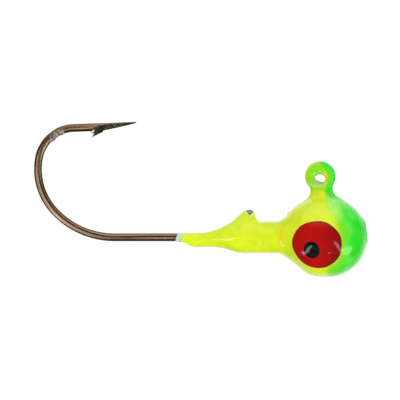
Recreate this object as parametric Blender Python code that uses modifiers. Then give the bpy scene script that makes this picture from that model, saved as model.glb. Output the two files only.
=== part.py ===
"""Painted ball-head fishing jig, in metres, with +Z up.

The hook's plane is y = 0. The origin is the centre of the line-tie ring, +X runs along the shank
towards the nose, and the line pulls along +Z. The left side of the fish-like head faces -Y.

The pieces nest like the real ones: a bent and barbed wire hook, a lead head cast round it, and thin
coats of paint over the head, the ring and a little of the shank. Every coat is a shell of its own,
with a hair's breadth of air between it and the layer below.
"""
import math

import bmesh
import bpy
from mathutils import Matrix, Vector

MM = 0.001
WELD_DISTANCE = 0.001

# Hook wire, in millimetres and degrees. The route starts at the free end of the ring.
WIRE_RADIUS = 0.50
RING_RADIUS = 1.26
RING_END_ANGLE = 215.0
RING_END_RUN = 0.80
RING_START_ANGLE = -30.0
NECK_BEND_RADIUS = 1.00
HEAD_BEND_RADIUS = 1.50
SHANK_DROP = 7.68
SHANK_BACK = 26.0
BEND_ARCS = ((10.40, 47.0), (7.76, 54.0), (4.72, 77.0))
SPEAR_RUN = 3.55
POINT_RUN = 4.00
POINT_FINENESS = 0.85
POINT_TIP_RADIUS = 0.03
ARC_STEP = 10.0
WIRE_SIDES_SETTING = 3
WIRE_ROLL = 7.0

# Barb, cut from the underside of the spear and lifted towards the shank.
BARB_ROOT_BACK = 0.85
BARB_ROOT_LENGTH = 1.50
BARB_ROOT_WIDTH = 0.50
BARB_DROP = 1.32
BARB_LEAN = 0.85
BARB_TIP_SIZE = 0.03
NOTCH_CENTRE = (-0.52, -0.26)
NOTCH_SIZE = (0.80, 0.07)
NOTCH_SLANT = 43.0

# Lead head, without its paint. Distances along X are counted from the ball's centre.
BALL_X = 0.85
BALL_RADIUS = 4.94
COLLAR_RADIUS = 1.89
SHOULDER_LENGTH = 6.30
COLLAR_BACK = -11.40
TAPER_BACK = -14.80
TAPER_RADIUS = 0.66
TURNED_STEPS = 28
TAIL_FRONT = -13.20
TAIL_BACK = -17.30
TAIL_BACK_RADIUS = 0.34
TAIL_BACK_RISE = 0.17
TAIL_ROUNDING = 0.45
TAIL_RADIUS = 0.60
TAIL_DROP = 0.42
TAIL_ROLL = 15.0
KEEPER_BASE_X = -11.22
KEEPER_BASE_SIZE = (3.05, 1.05)
KEEPER_TIP_X = -9.86
KEEPER_TIP_SIZE = (0.42, 0.24)
KEEPER_HEIGHT = 3.32
BOSS_BASE_X = -0.75
BOSS_BASE_SIZE = (1.75, 1.20)
BOSS_TIP_X = -0.73
BOSS_TIP_SIZE = (1.24, 0.70)
BOSS_BASE_HEIGHT = 4.10
BOSS_TIP_HEIGHT = 6.36
SPRUE_RISE = 0.60
SPRUE_BASE = (3.90, 1.75)
SPRUE_TIP = (4.86, 1.42)

# Paint. Each coat is a pair of distances out from the bare lead and the bare wire.
CHANNEL_GAP = 0.02
BASE_COAT = (0.01, 0.05)
CHARTREUSE_COAT = (0.06, 0.13)
GREEN_COAT = (0.14, 0.17)
IRIS_COAT = (0.18, 0.22)
PUPIL_COAT = (0.23, 0.26)
BASE_COAT_END = -19.05
CHARTREUSE_END = -18.40
GREEN_EDGE_POINT = (1.35, -3.92)
GREEN_EDGE_LEAN = 12.0
IRIS_AIM = (-0.3165, -0.9205, -0.2294)
IRIS_RADIUS = 3.07
PUPIL_AIM = (-0.389, -0.863, -0.321)
PUPIL_RADIUS = 1.04
EYE_SIDES = 32

# Dried lacquer left round the bend, where the hook was held while its head was painted.
RESIDUE_LAYER = (0.015, 0.055)
RESIDUE_ARC = (0.47, 0.80)

HOOK_BRONZE = (0.22, 0.14, 0.09)
LEAD_GREY = (0.26, 0.26, 0.28)
BASE_WHITE = (0.66, 0.78, 0.72)
CHARTREUSE = (0.66, 0.84, 0.02)
GREEN = (0.04, 0.60, 0.03)
IRIS_RED = (0.45, 0.004, 0.004)
PUPIL_BLACK = (0.006, 0.006, 0.006)
RESIDUE_GREY = (0.30, 0.28, 0.23)


class Route:
    """A wire's centre line in the plane y = 0, drawn by straight runs and tangent arcs."""

    def __init__(self, x, z, heading):
        self.points = [(x, z)]
        self.heading = math.radians(heading)

    def run(self, length):
        x, z = self.points[-1]
        self.points.append((x + length * math.cos(self.heading), z + length * math.sin(self.heading)))

    def turn(self, radius, degrees):
        """Positive degrees turn from +X towards +Z."""
        side = math.copysign(1.0, degrees)
        x, z = self.points[-1]
        centre_x = x - side * radius * math.sin(self.heading)
        centre_z = z + side * radius * math.cos(self.heading)
        steps = max(2, round(abs(degrees) / ARC_STEP))
        for step in range(1, steps + 1):
            angle = self.heading + math.radians(degrees) * step / steps
            self.points.append((centre_x + side * radius * math.sin(angle),
                                centre_z - side * radius * math.cos(angle)))
        self.heading += math.radians(degrees)


def ring_route():
    """The ring, the riser under it and the bend inside the head, ending at the shank's start."""
    angle = math.radians(RING_END_ANGLE)
    tangent = Vector((-math.sin(angle), math.cos(angle)))
    start = Vector((math.cos(angle), math.sin(angle))) * RING_RADIUS + tangent * RING_END_RUN
    route = Route(start.x, start.y, math.degrees(math.atan2(-tangent.y, -tangent.x)))
    route.run(RING_END_RUN)
    route.turn(RING_RADIUS, RING_START_ANGLE - RING_END_ANGLE)
    route.turn(NECK_BEND_RADIUS, -RING_START_ANGLE)
    route.run(route.points[-1][1] + SHANK_DROP - HEAD_BEND_RADIUS)
    route.turn(HEAD_BEND_RADIUS, -90.0)
    return route


def hook_route():
    """The whole wire from the ring's free end to the start of the ground point."""
    route = ring_route()
    route.run(route.points[-1][0] + SHANK_BACK)
    for radius, degrees in BEND_ARCS:
        route.turn(radius, -degrees)
    route.run(SPEAR_RUN)
    return route


def move_to_collection(thing, collection):
    for old in thing.users_collection:
        old.objects.unlink(thing)
    collection.objects.link(thing)


def mesh_object(name, build):
    """A new object whose mesh is filled by build(bm)."""
    bm = bmesh.new()
    build(bm)
    mesh = bpy.data.meshes.new(name)
    bm.to_mesh(mesh)
    bm.free()
    thing = bpy.data.objects.new(name, mesh)
    bpy.context.scene.collection.objects.link(thing)
    return thing


def bake(thing, weld=False):
    """Replace an object by the plain mesh that its curve or its modifiers make."""
    bpy.context.view_layer.update()
    graph = bpy.context.evaluated_depsgraph_get()
    mesh = bpy.data.meshes.new_from_object(thing.evaluated_get(graph))
    mesh.transform(thing.matrix_world)
    if weld:
        bm = bmesh.new()
        bm.from_mesh(mesh)
        bmesh.ops.remove_doubles(bm, verts=bm.verts, dist=WELD_DISTANCE * MM)
        bm.to_mesh(mesh)
        bm.free()
    baked = bpy.data.objects.new(thing.name, mesh)
    bpy.context.scene.collection.objects.link(baked)
    bpy.data.objects.remove(thing)
    return baked


def combine(base, others, operation):
    """Boolean every other object into base, and use the others up.

    The exact solver loses faces where two coats run a hair apart, so these use the manifold one.
    """
    for other in others:
        step = base.modifiers.new(other.name, 'BOOLEAN')
        step.operation = operation
        step.solver = 'MANIFOLD'
        step.object = other
    result = bake(base)
    for other in others:
        bpy.data.objects.remove(other)
    return result


def tube(name, points, radii, roll=WIRE_ROLL):
    """A round wire along points (x, z) in millimetres, with flat ends, its facets rolled by an angle."""
    curve = bpy.data.curves.new(name, 'CURVE')
    curve.dimensions = '3D'
    curve.bevel_depth = MM
    curve.bevel_resolution = WIRE_SIDES_SETTING
    curve.use_fill_caps = True
    spline = curve.splines.new('POLY')
    spline.points.add(len(points) - 1)
    for spot, (x, z), radius in zip(spline.points, points, radii):
        spot.co = (x * MM, 0.0, z * MM, 1.0)
        spot.radius = radius
        spot.tilt = math.radians(roll)
    thing = bpy.data.objects.new(name, curve)
    bpy.context.scene.collection.objects.link(thing)
    return bake(thing, weld=True)


def frustum(name, base, base_size, tip, tip_size, sides=16, along='Z'):
    """A leaning oval cone with flat ends; sizes are half widths across its axis, in millimetres."""
    def build(bm):
        half_side = Matrix.Rotation(math.pi / sides, 4, 'Z')
        bmesh.ops.create_cone(bm, cap_ends=True, segments=sides, radius1=1.0, radius2=1.0, depth=2.0,
                              matrix=half_side)
        for vert in bm.verts:
            centre, size = (tip, tip_size) if vert.co.z > 0.0 else (base, base_size)
            if along == 'Z':
                offset = Vector((vert.co.x * size[0], vert.co.y * size[1], 0.0))
            else:
                offset = Vector((0.0, vert.co.x * size[0], vert.co.y * size[1]))
            vert.co = (Vector(centre) + offset) * MM
    return mesh_object(name, build)


def head_profile():
    """Half outline of the turned head: pairs (radius, distance along X) from the nose to the back."""
    points = []
    nose_steps = 8
    for step in range(nose_steps):
        angle = math.radians(90.0) * step / nose_steps
        points.append((BALL_RADIUS * math.sin(angle), BALL_RADIUS * math.cos(angle)))
    shoulder_steps = 9
    for step in range(shoulder_steps):
        back = step / shoulder_steps
        swell = (1.0 - back ** 3) ** 2
        points.append((COLLAR_RADIUS + (BALL_RADIUS - COLLAR_RADIUS) * swell, -SHOULDER_LENGTH * back))
    points.append((COLLAR_RADIUS, -SHOULDER_LENGTH))
    points.append((COLLAR_RADIUS, COLLAR_BACK))
    points.append((TAPER_RADIUS, TAPER_BACK))
    return points


def grown_outline(points, grow):
    """The outline moved out by grow along its own normals; its ends stay on the axis or square."""
    moved = []
    for index, (radius, along) in enumerate(points):
        before = points[max(index - 1, 0)]
        after = points[min(index + 1, len(points) - 1)]
        ways = []
        for start, end in ((before, (radius, along)), ((radius, along), after)):
            way = Vector((end[0] - start[0], end[1] - start[1]))
            if way.length > 0.0:
                way.normalize()
                ways.append(Vector((-way.y, way.x)))
        normal = sum(ways, Vector((0.0, 0.0))).normalized()
        reach = grow / max(normal.dot(ways[0]), 0.5)
        moved.append((radius + normal.x * reach, along + normal.y * reach))
    moved[0] = (0.0, points[0][1] + grow)
    last = moved[-1]
    moved[-1] = (last[0], points[-1][1] - grow)
    moved.append((0.0, points[-1][1] - grow))
    return moved


def turned_head(name, grow):
    """The ball, its shoulder, the collar and the taper behind it, turned about the shank's line."""
    outline = grown_outline(head_profile(), grow)
    mesh = bpy.data.meshes.new(name)
    verts = [(radius * MM, 0.0, along * MM) for radius, along in outline]
    edges = [(index, index + 1) for index in range(len(outline) - 1)]
    mesh.from_pydata(verts, edges, [])
    thing = bpy.data.objects.new(name, mesh)
    bpy.context.scene.collection.objects.link(thing)
    screw = thing.modifiers.new('turn', 'SCREW')
    screw.steps = TURNED_STEPS
    screw.render_steps = TURNED_STEPS
    screw.use_merge_vertices = True
    screw.merge_threshold = WELD_DISTANCE * MM
    thing.matrix_world = (Matrix.Translation((BALL_X * MM, 0.0, -SHANK_DROP * MM))
                          @ Matrix.Rotation(math.radians(90.0), 4, 'Y')
                          @ Matrix.Rotation(math.pi / TURNED_STEPS, 4, 'Z'))
    return bake(thing)


def tail(name, grow):
    """The half-round tail under the shank, with a blunt tapered back end."""
    height = -SHANK_DROP - TAIL_DROP
    back = BALL_X + TAIL_BACK
    points = [(back - grow, height + TAIL_BACK_RISE), (back + TAIL_ROUNDING, height),
              (BALL_X + TAIL_FRONT, height)]
    radii = [TAIL_BACK_RADIUS + grow, TAIL_RADIUS + grow, TAIL_RADIUS + grow]
    return tube(name, points, radii, TAIL_ROLL)


def head_parts(name, grow):
    """Everything cast in lead, swollen by grow: turned head, tail, bait keeper, neck boss and sprue."""
    parts = [turned_head(name, grow), tail(name + '_tail', grow)]
    parts.append(frustum(name + '_keeper',
                         (BALL_X + KEEPER_BASE_X, 0.0, -SHANK_DROP),
                         (KEEPER_BASE_SIZE[0] + grow, KEEPER_BASE_SIZE[1] + grow),
                         (BALL_X + KEEPER_TIP_X, 0.0, -SHANK_DROP + KEEPER_HEIGHT + grow),
                         (KEEPER_TIP_SIZE[0] + grow, KEEPER_TIP_SIZE[1] + grow)))
    parts.append(frustum(name + '_boss',
                         (BALL_X + BOSS_BASE_X, 0.0, -SHANK_DROP + BOSS_BASE_HEIGHT),
                         (BOSS_BASE_SIZE[0] + grow, BOSS_BASE_SIZE[1] + grow),
                         (BALL_X + BOSS_TIP_X, 0.0, -SHANK_DROP + BOSS_TIP_HEIGHT + grow),
                         (BOSS_TIP_SIZE[0] + grow, BOSS_TIP_SIZE[1] + grow)))
    parts.append(frustum(name + '_sprue',
                         (BALL_X + SPRUE_BASE[0], 0.0, -SHANK_DROP + SPRUE_RISE),
                         (SPRUE_BASE[1] + grow, SPRUE_BASE[1] + grow),
                         (BALL_X + SPRUE_TIP[0] + grow, 0.0, -SHANK_DROP + SPRUE_RISE),
                         (SPRUE_TIP[1] + grow, SPRUE_TIP[1] + grow), along='X'))
    return parts


def union(parts):
    return combine(parts[0], parts[1:], 'UNION')


def wire_tube(name, grow):
    """The whole wire swollen by grow, as the cutter for every channel that it runs through."""
    route = hook_route()
    points = list(route.points)
    end = Vector(points[0]) - Vector(points[1])
    points[0] = tuple(Vector(points[0]) + end.normalized() * grow)
    return tube(name, points, [WIRE_RADIUS + grow] * len(points))


def painted_wire(name, grow, back_end):
    """The painted stretch of wire: the ring and its riser, and the shank as far as back_end."""
    points = list(ring_route().points)
    points.append((BALL_X + back_end, -SHANK_DROP))
    return tube(name, points, [WIRE_RADIUS + grow] * len(points))


def coat(name, layer, back_end):
    """A shell of paint over the head, the ring and the shank as far as back_end."""
    inner, outer = layer
    shell = union(head_parts(name, outer) + [painted_wire(name + '_wire', outer, back_end)])
    core = union(head_parts(name + '_core', inner) + [wire_tube(name + '_core_wire', inner)])
    return combine(shell, [core], 'DIFFERENCE')


def green_side():
    """A block that holds everything in front of the slanted edge of the green paint."""
    half = 15.0
    thing = mesh_object('green_side', lambda bm: bmesh.ops.create_cube(bm, size=2.0 * half * MM))
    x, z = GREEN_EDGE_POINT
    thing.matrix_world = (Matrix.Translation((x * MM, 0.0, z * MM))
                          @ Matrix.Rotation(math.radians(-GREEN_EDGE_LEAN), 4, 'Y')
                          @ Matrix.Translation((half * MM, 0.0, 0.0)))
    return bake(thing)


def green_coat(name):
    return combine(coat(name, GREEN_COAT, CHARTREUSE_END), [green_side()], 'INTERSECT')


def eye_disc(name, aim, radius, layer, side):
    """A round patch of paint on the ball, seen along aim; side is 1 on the left and -1 on the right."""
    inner, outer = layer
    way = Vector((aim[0], aim[1] * side, aim[2])).normalized()
    punch = mesh_object(name, lambda bm: bmesh.ops.create_cone(
        bm, cap_ends=True, segments=EYE_SIDES, radius1=radius * MM, radius2=radius * MM, depth=8.0 * MM))
    centre = Vector((BALL_X, 0.0, -SHANK_DROP)) * MM
    punch.matrix_world = (Matrix.Translation(centre)
                          @ way.to_track_quat('Z', 'Y').to_matrix().to_4x4()
                          @ Matrix.Translation((0.0, 0.0, 6.0 * MM)))
    disc = combine(bake(punch), [turned_head(name + '_skin', outer)], 'INTERSECT')
    return combine(disc, [turned_head(name + '_core', inner)], 'DIFFERENCE')


def hook(name):
    """The wire, its ground point and the barb."""
    route = hook_route()
    points = list(route.points)
    radii = [WIRE_RADIUS] * len(points)
    start = Vector(points[-1])
    along = Vector((math.cos(route.heading), math.sin(route.heading)))
    across = Vector((-along.y, along.x))
    steps = 6
    for step in range(1, steps + 1):
        reach = step / steps
        radius = max(WIRE_RADIUS * (1.0 - reach) ** POINT_FINENESS, POINT_TIP_RADIUS)
        spot = start + along * POINT_RUN * reach + across * (WIRE_RADIUS - radius)
        points.append(tuple(spot))
        radii.append(radius)
    wire = tube(name, points, radii)

    root = start - along * BARB_ROOT_BACK
    tip = root - across * BARB_DROP - along * BARB_LEAN
    barb = frustum('barb', (root.x, 0.0, root.y), (BARB_ROOT_LENGTH / 2, BARB_ROOT_WIDTH / 2),
                   (tip.x, 0.0, tip.y), (BARB_TIP_SIZE, BARB_TIP_SIZE), sides=8)
    wire = combine(wire, [barb], 'UNION')

    notch = mesh_object('notch', lambda bm: bmesh.ops.create_cube(bm, size=MM))
    spot = root + along * NOTCH_CENTRE[0] + across * NOTCH_CENTRE[1]
    notch.matrix_world = (Matrix.Translation((spot.x * MM, 0.0, spot.y * MM))
                          @ Matrix.Rotation(math.radians(-NOTCH_SLANT), 4, 'Y')
                          @ Matrix.Diagonal((NOTCH_SIZE[0], 3.0 * WIRE_RADIUS, NOTCH_SIZE[1], 1.0)))
    return combine(wire, [bake(notch)], 'DIFFERENCE')


def residue(name):
    """A thin sleeve round the tightest of the bend's arcs."""
    route = ring_route()
    route.run(route.points[-1][0] + SHANK_BACK)
    for radius, degrees in BEND_ARCS[:-1]:
        route.turn(radius, -degrees)
    radius, degrees = BEND_ARCS[-1]
    route.turn(radius, -degrees * RESIDUE_ARC[0])
    first = len(route.points) - 1
    route.turn(radius, -degrees * (RESIDUE_ARC[1] - RESIDUE_ARC[0]))
    points = route.points[first:]
    outer = tube(name, points, [WIRE_RADIUS + RESIDUE_LAYER[1]] * len(points))
    longer = [Vector(points[0]) * 2 - Vector(points[1])] + [Vector(spot) for spot in points]
    longer.append(Vector(points[-1]) * 2 - Vector(points[-2]))
    core = tube(name + '_core', [tuple(spot) for spot in longer],
                [WIRE_RADIUS + RESIDUE_LAYER[0]] * len(longer))
    return combine(outer, [core], 'DIFFERENCE')


def finish(thing, name, collection, colour, roughness, metallic):
    """Name the object, give it its material and shade its round faces smooth."""
    thing.name = name
    thing.data.name = name
    material = bpy.data.materials.new(name)
    material.use_nodes = True
    shader = material.node_tree.nodes['Principled BSDF']
    shader.inputs['Base Color'].default_value = (*colour, 1.0)
    shader.inputs['Roughness'].default_value = roughness
    shader.inputs['Metallic'].default_value = metallic
    material.diffuse_color = (*colour, 1.0)
    thing.data.materials.clear()
    thing.data.materials.append(material)
    thing.data.shade_smooth()
    thing.data.set_sharp_from_angle(angle=math.radians(40.0))
    move_to_collection(thing, collection)


def main():
    for thing in list(bpy.data.objects):
        bpy.data.objects.remove(thing)
    collection = bpy.data.collections.new('jig_head')
    bpy.context.scene.collection.children.link(collection)

    casting = combine(union(head_parts('lead_head', 0.0)),
                      [wire_tube('channel', CHANNEL_GAP)], 'DIFFERENCE')
    pieces = [
        (hook('hook'), 'hook', HOOK_BRONZE, 0.30, 1.0),
        (casting, 'lead_head', LEAD_GREY, 0.55, 1.0),
        (coat('base_coat', BASE_COAT, BASE_COAT_END), 'base_coat', BASE_WHITE, 0.40, 0.0),
        (coat('chartreuse_coat', CHARTREUSE_COAT, CHARTREUSE_END), 'chartreuse_coat',
         CHARTREUSE, 0.20, 0.0),
        (green_coat('green_coat'), 'green_coat', GREEN, 0.20, 0.0),
        (residue('lacquer_residue'), 'lacquer_residue', RESIDUE_GREY, 0.35, 0.0),
    ]
    for side, word in ((1, 'left'), (-1, 'right')):
        iris = eye_disc('iris_' + word, IRIS_AIM, IRIS_RADIUS, IRIS_COAT, side)
        pupil = eye_disc('pupil_' + word, PUPIL_AIM, PUPIL_RADIUS, PUPIL_COAT, side)
        pieces.append((iris, 'iris_' + word, IRIS_RED, 0.15, 0.0))
        pieces.append((pupil, 'pupil_' + word, PUPIL_BLACK, 0.15, 0.0))
    for thing, name, colour, roughness, metallic in pieces:
        finish(thing, name, collection, colour, roughness, metallic)


main()
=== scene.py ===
"""The finished looks of the painted ball-head jig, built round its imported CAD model.

Every piece but the eyes is the zero level of a signed distance field, in millimetres and in the
CAD's frame: the origin is the centre of the line-tie ring, +X runs to the nose, +Z is up and the
hook's plane is y = 0. A field is meshed by surface nets, then each vertex is slid onto the field's
exact surface. The eyes are dabs of paint laid on the head's skin.
"""
import math

import bmesh
import bpy
import numpy as np
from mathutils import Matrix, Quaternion, Vector


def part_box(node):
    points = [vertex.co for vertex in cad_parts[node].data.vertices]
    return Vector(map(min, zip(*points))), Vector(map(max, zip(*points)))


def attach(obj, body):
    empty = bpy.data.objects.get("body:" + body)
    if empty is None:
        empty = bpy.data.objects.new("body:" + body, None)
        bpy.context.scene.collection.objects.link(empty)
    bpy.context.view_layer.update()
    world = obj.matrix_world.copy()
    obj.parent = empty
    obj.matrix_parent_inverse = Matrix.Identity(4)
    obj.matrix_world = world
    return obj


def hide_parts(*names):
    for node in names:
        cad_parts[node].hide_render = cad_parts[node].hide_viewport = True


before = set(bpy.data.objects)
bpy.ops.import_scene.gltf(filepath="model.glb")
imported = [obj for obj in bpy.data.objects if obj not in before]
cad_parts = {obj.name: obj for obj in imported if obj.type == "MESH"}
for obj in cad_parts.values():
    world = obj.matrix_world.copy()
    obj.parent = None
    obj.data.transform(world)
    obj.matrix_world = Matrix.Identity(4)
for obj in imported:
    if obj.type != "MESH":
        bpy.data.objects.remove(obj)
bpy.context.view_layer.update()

MM = 0.001

# Wire, as bent: a ring, a riser, a right-angle bend, the shank, three arcs (radius, degrees) and
# the spear, which is ground to a point.
WIRE_RADIUS = 0.50
RING_RADIUS = 1.26
RING_END_ANGLE = 215.0
RING_END_RUN = 0.80
RING_START_ANGLE = -30.0
NECK_BEND_RADIUS = 1.00
HEAD_BEND_RADIUS = 1.50
SHANK_DROP = 7.68
SHANK_BACK = 26.0
BEND_ARCS = ((10.40, 47.0), (7.76, 54.0), (4.62, 77.0))
SPEAR_RUN = 3.55
POINT_RUN = 4.95
POINT_POWER = 0.85
POINT_SHIFT = 1.0
BLADE_SLOPE = 0.1018
BLADE_LEAN = 0.289

# Barb and its bright cut face, in the point's frame: s along the spear, t upwards.
BARB = ((-1.47, -1.36), (-1.07, -1.00), (-1.29, -0.71), (-1.48, -0.54), (-1.40, -0.20),
        (-0.80, 0.0), (0.40, 0.0), (0.12, -0.62))
BARB_CUT = ((-1.52, -0.58), (-1.44, -0.34), (-0.90, -0.36), (-1.02, -1.00), (-1.10, -1.03),
            (-1.32, -0.72))

# Half widths of the barb across the hook's plane: it widens upwards from its tip, and along its
# back edge.
BARB_TIP_HEIGHT = -1.25
BARB_TIP_HALF_WIDTH = 0.05
BARB_WIDENING = 0.8
BARB_SPREAD = 0.34
BARB_BACK_HALF_WIDTH = 0.07
BARB_BACK_SPREAD = 0.62

# Dried lacquer, by its place along the wire from the start of the bend's last arc: the stretch it
# covers, its swells (place, spread, share of the height) and the run on the inner side.
RESIDUE_SPAN = (2.4, 5.4)
RESIDUE_SWELLS = ((4.55, 0.40, 1.0), (3.60, 0.45, 0.55))
RESIDUE_RUN = (3.05, 0.36)
RESIDUE_SWELL_HEIGHT = 0.105
RESIDUE_RUN_HEIGHT = 0.17
RESIDUE_SINK = 0.03
RESIDUE_DEPTH = 0.15

# Head, with its paint. u counts along X from the ball's centre, and h is height over the shank.
BALL_X = 0.85
BALL_RADIUS = 5.07
BALL_CENTRE = (BALL_X, 0.0, -SHANK_DROP)
COLLAR_RADIUS = 2.02
SHOULDER_LENGTH = 6.30
COLLAR_BACK = -11.40
TAPER_SLOPE = 0.40
SHOULDER_LIFT = 0.22
SHOULDER_LIFT_U = -4.0
SHOULDER_LIFT_SPREAD = 1.3
PAINTED_WIRE_RADIUS = 0.59
PAINTED_WIRE_SAG = 0.07
TAIL_RADIUS = 0.73
TAIL_DROP = 0.49
TAIL_FRONT = -12.6
TAIL_HEEL = (-17.19, -1.18)
TAIL_HEEL_SLANT = 32.0
LEAD_END = -17.2
FIN_OUTLINE = ((-15.0, 0.15), (-13.35, 0.96), (-12.1, 1.84), (-10.55, 3.30), (-10.25, 3.47),
               (-9.50, 3.47), (-9.26, 3.20), (-8.93, 2.30), (-8.70, 1.20), (-8.7, 0.0),
               (-15.0, 0.0))
FIN_TOP = 3.47
FIN_TOP_HALF_WIDTH = 0.40
FIN_SPREAD = 0.42
FIN_END_HALF_WIDTH = 0.42
FIN_END_SPREAD = 0.40
SPRUE_TILT = 6.4
SPRUE_REACH = 5.04
SPRUE_RADIUS = 1.41
SPRUE_RISE = 0.16
SPRUE_FLARE = 1.2
NECK_X = 0.07
NECK_HALF_SIZE = (1.33, 0.95)
NECK_TOP = -1.10
NECK_FLARE = 0.35
NECK_FLARE_TOP = -1.50
RISER_X = 0.957
RISER_TOP = -1.05
RISER_RADIUS = 0.56
RING_OUTER = 1.93
RING_DEPTH = 0.63
RING_HOLE_CENTRE = (-0.05, -0.41)
RING_HOLE_RADIUS = 0.69
RING_COAT = 0.03
FILM_Y = 0.08
FILM_HALF_DEPTH = 0.16
FILM_EDGE = (0.0, -0.66)
FILM_SLANT = 25.0
FILM_CENTRE_Z = -0.1
FILM_RADIUS = 1.2
# A low bump on the collar: (u, h, half length, half height, rise).
COLLAR_BUMP = (-8.85, -0.70, 0.25, 0.75, 0.035)
NIB = (-4.85, 3.02)
NIB_RADIUS = 0.20
SEAM_HEIGHT = 0.012
SEAM_HALF_WIDTH = 0.20

# Paint
PAINT = 0.13
BASE_COAT_RADIUS = 0.545
BASE_COAT_SAG = 0.02
BASE_COAT_END = -19.05
BASE_COAT_SLANT = 0.25
BASE_COAT_OVERLAP = 0.8
CHARTREUSE_END = -18.40
CHARTREUSE_SLANT = 0.28
CHIP_OUTLINE = ((-10.50, 3.65), (-10.16, 3.24), (-10.08, 3.03), (-9.85, 2.76), (-9.64, 2.93),
                (-9.46, 3.06), (-9.22, 3.30), (-9.15, 3.65))
CHIP_DEPTH = 0.25
CHIP_TIP = (-9.80, 3.40)
IRIS_AIM = (-0.327, -0.9205, -0.2030)
IRIS_RADIUS = (3.20, 3.05)
IRIS_HEIGHTS = (0.015, 0.055)
PUPIL_AIM = (-0.404, -0.865, -0.292)
PUPIL_RADIUS = (1.08, 1.18)
PUPIL_HEIGHTS = (0.055, 0.085)
DAB_RINGS = 30
DAB_SPOKES = 120
# Painted shade on the iris: it darkens towards the nose, between these X places past the ball's
# middle, by this share at most.
DAB_FRONT = (-1.6, 1.2)
DAB_PAINTED_SHADE_SHARE = 0.8
DAB_SINK = 0.01
DAB_ROOT = 0.06

# Sprayed green: places of its edge (Z, X there), and the edge's softness (Z, half width there).
GREEN_EDGE = ((-12.7, 1.1), (-11.8, 1.5), (-10.5, 2.2), (-9.0, 2.6), (-6.8, 2.7), (-5.0, 2.3),
              (-3.6, 1.35), (-2.7, 1.05), (-2.3, 0.75), (-1.8, 0.46), (-1.3, 0.63), (-0.8, 0.88),
              (-0.1, 1.04), (0.5, 0.93), (1.1, 0.50), (1.7, -0.12))
GREEN_SOFTNESS = ((-8.0, 1.3), (-4.0, 1.8), (-2.6, 0.7), (-1.8, 0.40))

# Thin green on the ring: how much there is, and the Z where it starts and where it is full. Some of
# it is lost near the ring's outline, and more at the front of the hole, where yellow has pooled:
# (X, Z, half length, half height).
THIN_GREEN = 0.45
THIN_GREEN_START = (-2.45, -1.5)
THIN_GREEN_OUTLINE = (1.50, 1.85)
THIN_GREEN_OUTLINE_LOSS = 0.35
THIN_GREEN_POOL = (0.60, -0.25, 0.38, 0.95)
THIN_GREEN_POOL_LOSS = 0.8

# Clear paint that hangs low in the ring's hole, dark olive partly from its thin coat over the lead
# and partly as painted shade: where it starts and where it is full, going down, going in from the
# ring's outline, going back, and going away from the ring's thick paint.
FILM_TOP = (-0.25, -0.45)
FILM_OUTLINE = (1.25, 1.05)
FILM_FRONT = (0.50, 0.20)
FILM_CLEAR_OF_PAINT = (0.0, 0.06)

# A painted highlight under it, a pale arc: its arc's centre and radius, its half width, how much
# there is, and where it starts and is full, going down.
FILM_HIGHLIGHT_ARC = (-0.435, -0.18, 1.10)
FILM_HIGHLIGHT_HALF_WIDTH = 0.12
FILM_HIGHLIGHT_SHARE = 0.75
FILM_HIGHLIGHT_TOP = (-0.75, -0.95)

# Where paint has pooled and looks yellow, and painted shade in these hollows: (u, h, half length,
# half height, how much).
POOLS_AND_SHADE = ((-6.00, 0.0, 0.60, 1.30, 0.9), (-13.75, 0.2, 0.40, 0.55, 0.8),
         (-9.50, 2.2, 0.55, 0.38, 0.9), (-1.42, 5.75, 0.65, 0.45, 0.9),
         (-0.25, 7.45, 0.32, 0.90, 0.9))

# Grid steps for the meshes.
HEAD_STEP = 0.10
LEAD_STEP = 0.14
HOOK_STEP = 0.075
BASE_COAT_STEP = 0.045
RESIDUE_STEP = 0.06
COARSE = 4
DETAIL = 1.0


# ---- small field tools -------------------------------------------------------------------------

def smooth_min(a, b, size):
    """The smaller of two fields, with a fillet of about that size where they meet."""
    share = np.clip(0.5 + 0.5 * (b - a) / size, 0.0, 1.0)
    return b * (1.0 - share) + a * share - size * share * (1.0 - share)


def smooth_max(a, b, size):
    """The larger of two fields, with a rounded edge where they meet."""
    return -smooth_min(-a, -b, size)


def smooth_step(start, end, value):
    """0 at start and 1 at end, with an even turn at both."""
    share = np.clip((value - start) / (end - start), 0.0, 1.0)
    return share * share * (3.0 - 2.0 * share)


def polygon(x, z, corners):
    """Signed distance to a closed outline in a plane, negative inside."""
    nearest = np.full(x.shape, 1e9)
    inside = np.zeros(x.shape, bool)
    for (ax, az), (bx, bz) in zip(corners, corners[1:] + corners[:1]):
        ex, ez = bx - ax, bz - az
        wx, wz = x - ax, z - az
        share = np.clip((wx * ex + wz * ez) / (ex * ex + ez * ez), 0.0, 1.0)
        nearest = np.minimum(nearest, (wx - ex * share) ** 2 + (wz - ez * share) ** 2)
        if ez != 0.0:
            inside ^= ((az > z) != (bz > z)) & (wx < ex * wz / ez)
    return np.where(inside, -1.0, 1.0) * np.sqrt(nearest)


def ripple(p, wavelength, seed, waves=7):
    """A smooth seeded noise of about unit height, made of a few plane waves."""
    rng = np.random.default_rng(seed)
    total = np.zeros(len(p))
    for _ in range(waves):
        way = rng.normal(size=3)
        way *= 2.0 * math.pi / (wavelength * rng.uniform(0.75, 1.35) * np.linalg.norm(way))
        total += np.sin(p @ way + rng.uniform(0.0, 2.0 * math.pi))
    return total * math.sqrt(2.0 / waves) / 1.6


# ---- the head's field --------------------------------------------------------------------------

def head_place(p):
    """Points in the head's own measures: u along X, y, and h over the shank."""
    return p[:, 0] - BALL_X, p[:, 1], p[:, 2] + SHANK_DROP


def turned_radius(u):
    """Radius of the painted ball, shoulder, collar and taper behind the ball's middle."""
    back = np.clip(-u / SHOULDER_LENGTH, 0.0, 1.0)
    shoulder = COLLAR_RADIUS + (BALL_RADIUS - COLLAR_RADIUS) * (1.0 - back ** 3) ** 2
    taper = COLLAR_RADIUS + TAPER_SLOPE * (u - COLLAR_BACK)
    return smooth_min(shoulder, np.maximum(taper, 0.2), 0.35)


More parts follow.
